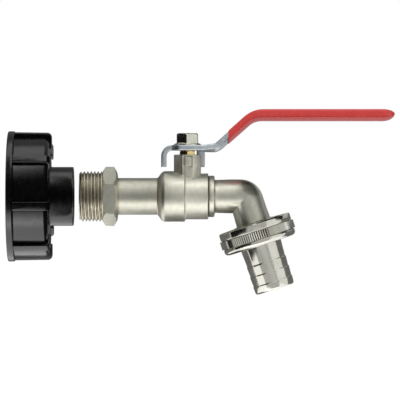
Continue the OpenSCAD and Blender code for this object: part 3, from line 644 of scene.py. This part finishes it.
# %% Coarse cap thread
COARSE_PITCH, COARSE_START, COARSE_TURNS, STEPS_A_TURN, FADE_STEPS = 4.2, 3.4, 2, 72, 14
COARSE_FOOT_R, FOOT_HALF, CREST_HALF = CAP_ROOT_R + 0.4, 2.1, 0.9
coarse_steps = COARSE_TURNS * STEPS_A_TURN
coarse_rings = []
for i in range(coarse_steps + 1):
    angle = i * math.tau / STEPS_A_TURN
    fade = min(1.0, i / FADE_STEPS, (coarse_steps - i) / FADE_STEPS)
    crest = CAP_ROOT_R + 0.2 - (CAP_ROOT_R + 0.2 - CAP_CREST_R) * fade
    middle = COARSE_START + COARSE_PITCH * i / STEPS_A_TURN
    coarse_rings.append([(middle + a, -r * math.sin(angle), r * math.cos(angle)) for a, r in (
        (-FOOT_HALF, COARSE_FOOT_R), (-CREST_HALF, crest), (CREST_HALF, crest), (FOOT_HALF, COARSE_FOOT_R))])
dress(make("cap_coarse_thread", loft(coarse_rings)), "cap", cap_plastic)

# %% [markdown]
# A pipe thread is one groove wound round and round. Its outline over a single pitch is spun about
# the axis while it moves along it, and each turn's edge meets the next turn's. The long screw is then
# cut square at both ends, its first turns are chamfered, and its ends are closed down to the bore.

# %% Pipe thread helper
def pipe_thread(root, crest, start, end, closed_to, chamfer=0.0, chamfer_end=0.0, shift=0.0, steps=72):
    """A thread along +Z. A nut's thread is shifted half a pitch, and so runs in the screw's groove."""
    turns = math.ceil((end - start) / THREAD_PITCH) + 2
    first = (math.floor(start / THREAD_PITCH) - 1 + shift) * THREAD_PITCH
    bm = bmesh.new()
    outline = [bm.verts.new((r * MM, 0, (first + part * THREAD_PITCH) * MM)) for r, part in (
        (root, 0), (root, 0.07), (crest, 0.43), (crest, 0.57), (root, 0.93), (root, 1))]
    edges = [bm.edges.new(pair) for pair in zip(outline, outline[1:])]
    bmesh.ops.spin(bm, geom=outline + edges, cent=(0, 0, 0), axis=(0, 0, 1), angle=math.tau * turns,
                   steps=steps * turns, dvec=(0, 0, THREAD_PITCH / steps * MM))
    bmesh.ops.remove_doubles(bm, verts=bm.verts, dist=1e-6)
    for v in bm.verts:
        low, high = v.co.z / MM - start, end - v.co.z / MM
        limit = max(root, crest) - max(0, chamfer - low, chamfer_end - high)
        radius = math.hypot(v.co.x, v.co.y) / MM
        if crest > root and radius > limit:
            v.co.x, v.co.y = (c * limit / radius for c in (v.co.x, v.co.y))
    for height, keep_above in ((start, True), (end, False)):
        bmesh.ops.bisect_plane(bm, geom=bm.verts[:] + bm.edges[:] + bm.faces[:], dist=1e-8,
                               plane_co=(0, 0, height * MM), plane_no=(0, 0, 1),
                               clear_inner=keep_above, clear_outer=not keep_above)
    rims = []
    for height in (start, end):
        loop = [e for e in bm.edges
                if e.is_boundary and all(abs(v.co.z / MM - height) < 1e-3 for v in e.verts)]
        made = bmesh.ops.extrude_edge_only(bm, edges=loop)["geom"]
        inner = {v for v in made if isinstance(v, bmesh.types.BMVert)}
        for v in inner:
            scale = closed_to * MM / math.hypot(v.co.x, v.co.y)
            v.co.x, v.co.y = v.co.x * scale, v.co.y * scale
        rims += [e for e in made if isinstance(e, bmesh.types.BMEdge) and set(e.verts) <= inner]
    bmesh.ops.bridge_loops(bm, edges=rims)
    return bm


INLET_X, HEX_X, BORE_R = 37.3, 49.7, 6.5
inlet = pipe_thread(THREAD_ROOT, THREAD_CREST, INLET_X, HEX_X + 0.6, closed_to=BORE_R, chamfer=1.1)
dress(make("inlet_thread", inlet, WATERWAY), "tap", inlet_thread_metal, sharp=28)
spigot = pipe_thread(SPIGOT_BORE + 0.2, THREAD_ROOT + 0.25, WASHER_X + 2.6, SPIGOT_END - 0.9,
                     closed_to=SPIGOT_BORE + 0.5, shift=0.5)
dress(make("spigot_thread", spigot, WATERWAY), "cap", cap_plastic, sharp=28)

# %% [markdown]
# The valve body is one casting: a hexagon for the wrench, a neck, a barrel round the ball with a
# small step, the octagonal stem tower with its pocket, and the lug that stops the lever. Each form
# is made alone, with its edges already soft, and Booleans join them into a single skin.

# %% Body: neck and barrel
NECK_X, NECK_R, CONE_X, BARREL_R = 57.5, 9.65, 78.4, 13.28
STEP_X, BARREL_END_X, NARROW_R = 92.6, 104.95, 12.05
STEM_X, CHAMBER_R, SEAT_REACH, NOSE_R = 94.0, 9.9, 7.6, 10.35
NOSE_X = STEM_X + SEAT_REACH
body = make("body_casting", turned([
    (BORE_R, HEX_X + 0.6), (NECK_R - 0.6, HEX_X + 0.6), (NECK_R - 0.6, NECK_X - 0.8), (NECK_R, NECK_X - 0.8),
    (NECK_R, CONE_X, 0.5), (BARREL_R, CONE_X + 2.6, 1.5, 5), (BARREL_R, STEP_X, 0.3),
    (NARROW_R + 0.35, STEP_X + 0.25), (NARROW_R, STEP_X + 0.9), (NARROW_R, BARREL_END_X, 0.45),
    (NOSE_R + 0.05, BARREL_END_X), (NOSE_R + 0.05, NOSE_X), (CHAMBER_R, NOSE_X),
    (CHAMBER_R, STEM_X - SEAT_REACH), (BORE_R, STEM_X - SEAT_REACH)]), WATERWAY)

# %% Body: hexagon
HEX_AF, HEX_LEN, HEX_TURN = 27.0, 7.8, 5.5
AT_HEX = Matrix.Translation((HEX_X * MM, 0, 0)) @ Matrix.Rotation(math.radians(HEX_TURN), 4, "X") @ WATERWAY
hexagon = make("hexagon", prism(6, HEX_AF, HEX_LEN), AT_HEX)
corner_cut = make("corner_cut", turned([
    (BORE_R, HEX_X - 0.1), (HEX_AF / 2 - 0.4, HEX_X - 0.1), (HEX_AF / 2 + 2.3, HEX_X + 1.6),
    (HEX_AF / 2 + 2.3, NECK_X - 2.1), (HEX_AF / 2 - 0.9, NECK_X - 0.3), (NECK_R + 0.6, NECK_X + 0.1),
    (BORE_R, NECK_X + 0.1)]), WATERWAY)
combine(hexagon, corner_cut, "INTERSECT")
combine(body, hexagon)

# %% Body: tower, pocket and stop lug
TOWER_AF, TOWER_TOP = 14.2, 21.9
tower_mesh = prism(8, TOWER_AF, TOWER_TOP - 6)
soften(tower_mesh, 0.35, 3)
tower = make("tower", tower_mesh, Matrix.Translation(Vector((STEM_X, 0, 6)) * MM))
FRONT_Y = -TOWER_AF / 2
pocket_mesh = block((STEM_X - 2.7, FRONT_Y - 1, TOWER_TOP - 6.6),
                    (STEM_X + 2.7, FRONT_Y + 0.7, TOWER_TOP - 0.7))
soften(pocket_mesh, 0.3)
combine(tower, make("pocket", pocket_mesh), "DIFFERENCE")
pad_mesh = block((STEM_X - 1.9, FRONT_Y - 0.05, TOWER_TOP - 5.9),
                 (STEM_X + 2.2, FRONT_Y + 1, TOWER_TOP - 1.3))
soften(pad_mesh, 0.35, 3)
combine(tower, make("pad", pad_mesh))
combine(body, tower)
LUG_FROM, LUG_TO, LUG_FOOT_Y = (97.05, 3.0, 6.2), (98.65, 12.5, 21.5), 10.1
lug_mesh = block(LUG_FROM, LUG_TO)
for v in lug_mesh.verts:
    if v.co.y > LUG_FOOT_Y * MM and v.co.z < (LUG_FROM[2] + 1) * MM:
        v.co.y = LUG_FOOT_Y * MM
soften(lug_mesh, 0.25)
combine(body, make("lug", lug_mesh))
STEM_FOOT_R, STEM_BORE_R, PACKING_R = 5.8, 3.95, 5.5
LAND_Z, PACKING_Z, ABOVE_TOWER = 12.9, 14.6, 24
for height_from, height_to, radius in ((-1, LAND_Z, STEM_FOOT_R), (0, ABOVE_TOWER, STEM_BORE_R),
                                       (PACKING_Z, ABOVE_TOWER, PACKING_R)):
    bore = turned([(0, height_from), (radius, height_from), (radius, height_to), (0, height_to)], 64)
    combine(body, make("bore", bore, Matrix.Translation(Vector((STEM_X, 0, 0)) * MM)), "DIFFERENCE")
dress(body, "tap", body_nickel, ["valve_body"], sharp=30)

# %% [markdown]
# The spout: a collar, a level tube and a leg that leans out 18 degrees. The whole outside is one
# circle led along the way. In the bend it turns about a point inside the pipe, so the outer side is
# round, and the points on the inner side stay on the mitre, which gives the casting its crease.

# %% Spout
COLLAR_X, COLLAR_R, TUBE_X, SPOUT_R, LEG_R, BEND_R = 105.3, 10.9, 108.25, 8.64, 9.16, 8.9
ELBOW_X, ELBOW_TURN, BEND_CENTRE_R = 124.25, 72.0, 3.0
BEND_START = BEND_CENTRE_R * math.tan(math.radians(ELBOW_TURN / 2))
LEG = Matrix.Translation(Vector((ELBOW_X, 0, 0)) * MM) @ Matrix.Rotation(math.radians(90 + ELBOW_TURN), 4, "Y")
LEG_DIRECTION = LEG.to_3x3() @ Vector((0, 0, 1))
AROUND = [math.tau * k / 96 for k in range(96)]


def elbow_ring(radius, bend, before=0.0, after=0.0):
    """The pipe's circle after a part of the bend, and so far before or after it."""
    turn, half = math.radians(bend), math.radians(ELBOW_TURN / 2)
    ring = []
    for a in AROUND:
        side, up = radius * math.sin(a), BEND_CENTRE_R + radius * math.cos(a)
        if up <= 0 and (0 < bend < ELBOW_TURN or not (before or after)):
            point = Vector((up * math.tan(half), side, up))
        else:
            point = Vector((up * math.sin(turn), side, up * math.cos(turn)))
        point += Vector((-before, 0, 0)) + after * Vector((math.cos(turn), 0, -math.sin(turn)))
        ring.append(point + Vector((ELBOW_X - BEND_START, 0, -BEND_CENTRE_R)))
    return ring


def level_ring(radius, x):
    """The circle at a place along the level tube."""
    return elbow_ring(radius, 0, before=ELBOW_X - BEND_START - x)


def leg_ring(radius, down):
    """The circle so far down the leg, measured from the elbow's corner."""
    return elbow_ring(radius, ELBOW_TURN, after=down - BEND_START)


BOSS_AT, WASHER_AT, LEG_BORE_R, LEG_TAPER_AT = 14.9, 20.5, 7.0, 8.6
TAPER_START, TAPER_END = TUBE_X + 0.6, ELBOW_X - BEND_START - 6
outside = [level_ring(radius, x) for radius, x in (
    (NOSE_R, NOSE_X), (NOSE_R, COLLAR_X), (COLLAR_R - 0.4, COLLAR_X), (COLLAR_R - 0.12, COLLAR_X + 0.12),
    (COLLAR_R, COLLAR_X + 0.4), (COLLAR_R, TUBE_X - 0.7), (COLLAR_R - 0.2, TUBE_X - 0.2),
    (COLLAR_R - 0.7, TUBE_X), (SPOUT_R + 0.6, TUBE_X), (SPOUT_R + 0.18, TUBE_X + 0.18),
    (SPOUT_R, TAPER_START))]
outside += [level_ring(SPOUT_R + (BEND_R - SPOUT_R) * k / 4, TAPER_START + (TAPER_END - TAPER_START) * k / 4)
            for k in range(1, 5)]
outside += [elbow_ring(BEND_R, ELBOW_TURN * k / 20) for k in range(0, 21)]
outside += [leg_ring(BEND_R + (LEG_R - BEND_R) * k / 4, LEG_TAPER_AT + (BOSS_AT - 0.7 - LEG_TAPER_AT) * k / 4)
            for k in range(0, 5)]
outside += [leg_ring(THREAD_ROOT - 0.9, BOSS_AT - 0.25), leg_ring(THREAD_ROOT - 0.3, BOSS_AT + 0.3),
            leg_ring(THREAD_ROOT - 0.3, WASHER_AT)]
spout = make("spout_casting", loft(outside))
for name, radius, start, end, place in (("waterway", BORE_R, NOSE_X - 1, ELBOW_X, WATERWAY),
                                        ("leg_bore", LEG_BORE_R, 0, WASHER_AT + 1, LEG)):
    bore = turned([(0, start), (radius, start), (radius, end), (0, end)], 64)
    combine(spout, make(name, bore, place), "DIFFERENCE")
dress(spout, "tap", spout_nickel, ["spout_elbow"], sharp=38)
union_thread_metal = thread_metal("union_thread_metal", (ELBOW_X, 0, 0), LEG_DIRECTION, THREAD_ROOT, THREAD_CREST)
union = pipe_thread(THREAD_ROOT, THREAD_CREST, BOSS_AT + 0.2, WASHER_AT, closed_to=LEG_BORE_R + 0.02,
                    chamfer=0.8, chamfer_end=0.6)
dress(make("union_thread", union, LEG), "tap", union_thread_metal, sharp=28)

# %% [markdown]
# The lever is cut from flat steel and bent: a plate over the stem, a wide handle that rises and
# levels out with a pressed belly below, and two tabs that turn down. The handle is a loft of its
# section along the bent path. The tabs are lofts and blocks joined on.

# %% Lever path and section
def rounded_path(corners, steps=8):
    """Stations (x, z) along straight runs whose corners are rounded with a radius."""
    path = [Vector(corners[0][:2])]
    for before, (x, z, radius), after in zip(corners, corners[1:-1], corners[2:]):
        here = Vector((x, z))
        back, on = (Vector(before[:2]) - here).normalized(), (Vector(after[:2]) - here).normalized()
        half = back.angle(on) / 2
        centre = here + (back + on).normalized() * radius / math.sin(half)
        start = here + back * radius / math.tan(half) - centre
        turn = (here + on * radius / math.tan(half) - centre).angle_signed(start)
        path += [centre + Matrix.Rotation(turn * k / steps, 2) @ start for k in range(steps + 1)]
    return path + [Vector(corners[-1][:2])]


def smooth_step(x, low, high):
    """0 below low and 1 above high, with a soft rise between them."""
    t = max(0.0, min(1.0, (x - low) / (high - low)))
    return t * t * (3 - 2 * t)


def steel_section(width, thick, belly, grow=0.0, rounding=0.5):
    """(sideways, up) points of a flat bar with soft edges and a belly, grown by a wall."""
    half, top, low = width / 2 + grow, grow, -thick - grow
    points = []
    for sign_x, sign_z, first in ((1, 1, 90), (1, -1, 0)):
        for k in range(5):
            a = math.radians(first - 90 * k / 4)
            points.append((sign_x * (half - rounding) + rounding * math.cos(a),
                           (top - rounding if sign_z > 0 else low + rounding) + rounding * math.sin(a)))
    for k in range(1, 12):
        across = (1 - k / 6) * (half - rounding)
        points.append((across, low - belly * (1 - (across / (half - rounding)) ** 2)))
    return points + [(-y, z) for y, z in reversed(points[:10])]


def stand(section, station, lean):
    """A section stood across the path, leaning with it."""
    return [(STEM_X + station[0] - z * math.sin(lean), y, station[1] + z * math.cos(lean)) for y, z in section]


def lean_at(path, i):
    """The path's slope at a station, as an angle."""
    a, b = path[max(0, i - 1)], path[min(len(path) - 1, i + 1)]
    return math.atan2(b.y - a.y, b.x - a.x)


LEVER_TOP, LEVER_T, PLATE_W, HANDLE_W, BELLY = 26.9, 2.8, 19.0, 16.0, 1.8
HEEL_X, HEEL_RISE, RISE_ANGLE, GRIP_Z, HANDLE_END = 14.6, 0.9, 41.7, 44.85, 103.5
UPPER_X = HEEL_X + (GRIP_Z - LEVER_TOP - HEEL_RISE) / math.tan(math.radians(RISE_ANGLE))
LEVER_PATH = rounded_path([(6, LEVER_TOP), (8.5, LEVER_TOP, 12), (HEEL_X, LEVER_TOP + HEEL_RISE, 3.5),
                           (UPPER_X, GRIP_Z, 15), (HANDLE_END, GRIP_Z)])
print("lever path has", len(LEVER_PATH), "stations")

# %% Lever
CORNER_R, PLATE_BACK, FLAT_BELLY = 4.0, -8, 0.05
lever_rings = []
for k in range(7):
    back = CORNER_R * math.cos(math.pi / 2 * k / 6)
    half = PLATE_W / 2 - CORNER_R + CORNER_R * math.sin(math.pi / 2 * k / 6)
    lever_rings.append(stand(steel_section(half * 2, LEVER_T, FLAT_BELLY),
                             Vector((PLATE_BACK + CORNER_R - back, LEVER_TOP)), 0))
for i, station in enumerate(LEVER_PATH):
    blend = smooth_step(station.x, 5, 13)
    section = steel_section(PLATE_W + (HANDLE_W - PLATE_W) * blend, LEVER_T,
                            FLAT_BELLY + (BELLY - FLAT_BELLY) * blend)
    lever_rings.append(stand(section, station, lean_at(LEVER_PATH, i)))
lever = make("lever_steel", loft(lever_rings))

END_TAB_X, END_TAB_W, END_TAB_BEND, TAB_BOTTOM = 13.8, 5.8, 5.8, 15.5
tab_path = rounded_path([(-3, LEVER_TOP), (-END_TAB_X, LEVER_TOP, END_TAB_BEND), (-END_TAB_X, TAB_BOTTOM)], 12)
tab_rings = []
for i, station in enumerate(tab_path):
    lean = lean_at(tab_path, i)
    tab_rings.append([(STEM_X + station.x + z * math.sin(lean), y, station.y - z * math.cos(lean))
                      for y, z in steel_section(END_TAB_W, LEVER_T, 0.0, 0, 0.6)])
combine(lever, make("end_tab", loft(tab_rings)))

SIDE_TAB_X, SIDE_TAB_Y, SIDE_TAB_LEN = 98.8, 7.6, 4.4
side_mesh = block((SIDE_TAB_X, SIDE_TAB_Y, TAB_BOTTOM),
                  (SIDE_TAB_X + SIDE_TAB_LEN, SIDE_TAB_Y + LEVER_T, LEVER_TOP - 0.02))
soften(side_mesh, 0.5, 3)
combine(lever, make("side_tab", side_mesh))
dress(lever, "lever", lever_zinc, ["lever"], sharp=40)

# %% [markdown]
# The red sleeve is drawn over the handle, so its skin is the handle's own section grown by the
# vinyl's wall. It starts in a square-cut mouth, swells to full wall on the grip and closes round
# the steel's end in a soft nose.

# %% Grip sleeve
SLEEVE_START, WALL_LOW, WALL, TIP_LEN, SLEEVE_FIT = 21.5, 0.35, 0.8, 5.2, 0.05
SKIN_ROUNDING, NOSE_START, NOSE_STEPS = 1.3, HANDLE_END - 1.4, 12


def mouth_ring(grow, rounding):
    """The mouth is cut square to the level, which stretches the section along the rising part."""
    top = LEVER_TOP + HEEL_RISE + (SLEEVE_START - HEEL_X) * math.tan(math.radians(RISE_ANGLE))
    return [(STEM_X + SLEEVE_START, y, top + z / math.cos(math.radians(RISE_ANGLE)))
            for y, z in steel_section(HANDLE_W, LEVER_T, BELLY, grow, rounding)]


inner, outer = [], []
for i, station in enumerate(LEVER_PATH):
    if station.x > SLEEVE_START + 4:
        lean = lean_at(LEVER_PATH, i)
        inner.append(stand(steel_section(HANDLE_W, LEVER_T, BELLY, SLEEVE_FIT), station, lean))
        wall = WALL_LOW + (WALL - WALL_LOW) * smooth_step(station.x, UPPER_X - 6, UPPER_X + 6)
        if station.x < HANDLE_END - 1:
            outer.append(stand(steel_section(HANDLE_W, LEVER_T, BELLY, wall, SKIN_ROUNDING), station, lean))
inner[-1] = [(x + SLEEVE_FIT, y, z) for x, y, z in inner[-1]]
nose = []
middle_z = -LEVER_T / 2 - 0.3
for k in range(NOSE_STEPS + 1):
    angle = k / NOSE_STEPS * math.pi / 2
    tall, wide = max(0.05, math.cos(angle)), max(0.3, math.cos(angle)) ** 0.55
    section = [(y * wide, middle_z + (z - middle_z) * tall)
               for y, z in steel_section(HANDLE_W, LEVER_T, BELLY, WALL, SKIN_ROUNDING)]
    nose.append(stand(section, Vector((NOSE_START + (HANDLE_END + TIP_LEN - NOSE_START) * math.sin(angle),
                                       GRIP_Z)), 0))
mouth = [mouth_ring(SLEEVE_FIT, 0.5), mouth_ring(WALL_LOW, 0.8)]
sleeve = make("grip_sleeve", loft(list(reversed(inner)) + mouth + outer + nose))
dress(sleeve, "lever", sleeve_vinyl, ["lever_sleeve"], sharp=50)

# %% [markdown]
# A flanged hexagon screw holds the lever on the stem. Its head is a hexagonal bar whose corners a
# cone has turned away, which leaves the curved edge that every real screw head has.

# %% Lever screw
FLANGE_TOP, SCREW_AF, HEAD_T, SCREW_TURN = 1.4, 10.87, 6.3, 3.5
AT_SCREW = Matrix.Translation(Vector((STEM_X, 0, LEVER_TOP)) * MM)
screw = make("lever_screw_head", prism(6, SCREW_AF, HEAD_T, 30 - SCREW_TURN), AT_SCREW)
head_cone = turned([(0, 0), (9, 0), (9, 2.6), (SCREW_AF / 2 + 0.55, HEAD_T - 0.7),
                    (SCREW_AF / 2 - 0.35, HEAD_T - 0.05, 0.3), (0, HEAD_T - 0.05)])
combine(screw, make("head_cone", head_cone, AT_SCREW), "INTERSECT")
combine(screw, make("flange", turned([(0, -0.2), (6.9, -0.2), (7.1, 0.05), (7.1, 0.5, 0.2),
                                      (SCREW_AF / 2 - 0.2, FLANGE_TOP), (0, FLANGE_TOP + 0.3)]), AT_SCREW))
dress(screw, "lever", screw_nickel, ["lever_screw"], sharp=28)

# %% [markdown]
# The union nut: two smooth lands with a knurled band sunk between them, and two plain lugs to
# grip. The band is part of the turned outline. Its points are then moved in and out in turn, four
# steps to a ridge, except where a lug stands.

# %% Union nut
NUT_TOP, NUT_END, NUT_R, NUT_FLOOR_AT, BAND_AT, BAND_W = 15.0, 26.9, 19.4, 24.45, 4.0, 4.5
RIDGES, RIDGE_DEPTH, LUG_PROUD, LUG_HALF = 100, 0.4, 0.7, 32
NUT_BORE_R, NUT_HOLE_R = 13.32, 11.05
band_low, band_high = NUT_TOP + BAND_AT + 0.15, NUT_TOP + BAND_AT + BAND_W - 0.15
BAND_R = NUT_R - 0.1
nut_mesh = turned([
    (NUT_BORE_R, NUT_TOP - 0.3), (NUT_BORE_R + 0.3, NUT_TOP - 0.3), (NUT_R - 0.6, NUT_TOP),
    (NUT_R, NUT_TOP + 0.5, 0.15), (NUT_R, NUT_TOP + BAND_AT - 0.35, 0.2), (NUT_R - 0.7, NUT_TOP + BAND_AT - 0.05),
    (BAND_R, band_low), (BAND_R, band_high), (NUT_R - 0.7, NUT_TOP + BAND_AT + BAND_W + 0.05),
    (NUT_R, NUT_TOP + BAND_AT + BAND_W + 0.35, 0.2), (NUT_R, NUT_END, 2.0, 6), (NUT_HOLE_R, NUT_END, 0.3),
    (NUT_HOLE_R, NUT_FLOOR_AT), (NUT_BORE_R, NUT_FLOOR_AT)], steps=4 * RIDGES)
for v in nut_mesh.verts:
    radius, height = math.hypot(v.co.x, v.co.y) / MM, v.co.z / MM
    if band_low - 0.01 < height < band_high + 0.01 and radius > NUT_R - 0.5:
        angle = math.degrees(math.atan2(v.co.y, v.co.x)) % 360
        from_lug = min(angle, abs(angle - 180), 360 - angle)
        step = round(angle / 360 * 4 * RIDGES) % 4
        wanted = NUT_R + LUG_PROUD if from_lug < LUG_HALF else BAND_R - RIDGE_DEPTH * (0, 0.5, 1, 0.5)[step]
        v.co.x, v.co.y = v.co.x * wanted / radius, v.co.y * wanted / radius
dress(make("union_nut_knurled", nut_mesh, LEG), "union_nut", nut_nickel, ["union_nut"],
      sharp=30)

# %% [markdown]
# The hose tail is turned from bar: a flange that the nut pulls up, a plain neck, and three
# shallow barbs that hold the hose. A lathe outline with small roundings is all it needs.

# %% Hose tail
TAIL_AT, TAIL_END, TAIL_FLANGE_T, TAIL_FLANGE_R = 22.5, 51.1, 1.8, 12.92
BARB_R, BARB_STEP, BARB_LAND, BARB_AT, BARB_PITCH, TAIL_BORE_R = 10.7, 0.3, 0.8, 11.5, 5.45, 8.4
tail_outline = [(TAIL_BORE_R, TAIL_AT), (TAIL_FLANGE_R, TAIL_AT, 0.2), (TAIL_FLANGE_R, TAIL_AT + TAIL_FLANGE_T, 0.2),
                (BARB_R + 0.2, TAIL_AT + TAIL_FLANGE_T), (BARB_R + 0.2, TAIL_AT + TAIL_FLANGE_T + 3.6)]
for i in range(3):
    z = TAIL_AT + TAIL_FLANGE_T + BARB_AT + i * BARB_PITCH
    tail_outline += [(BARB_R - BARB_STEP, z), (BARB_R, z + 0.05, 0.12, 2), (BARB_R, z + 0.05 + BARB_LAND, 0.2, 2)]
tail_outline += [(BARB_R - BARB_STEP, TAIL_END, 0.9, 4), (TAIL_BORE_R, TAIL_END, 0.3)]
dress(make("hose_tail_turned", turned(tail_outline, 128), LEG), "tail", tail_nickel,
      ["hose_tail"], sharp=25)

# %% [markdown]

# %% Finish
scene.view_settings.view_transform = "Standard"
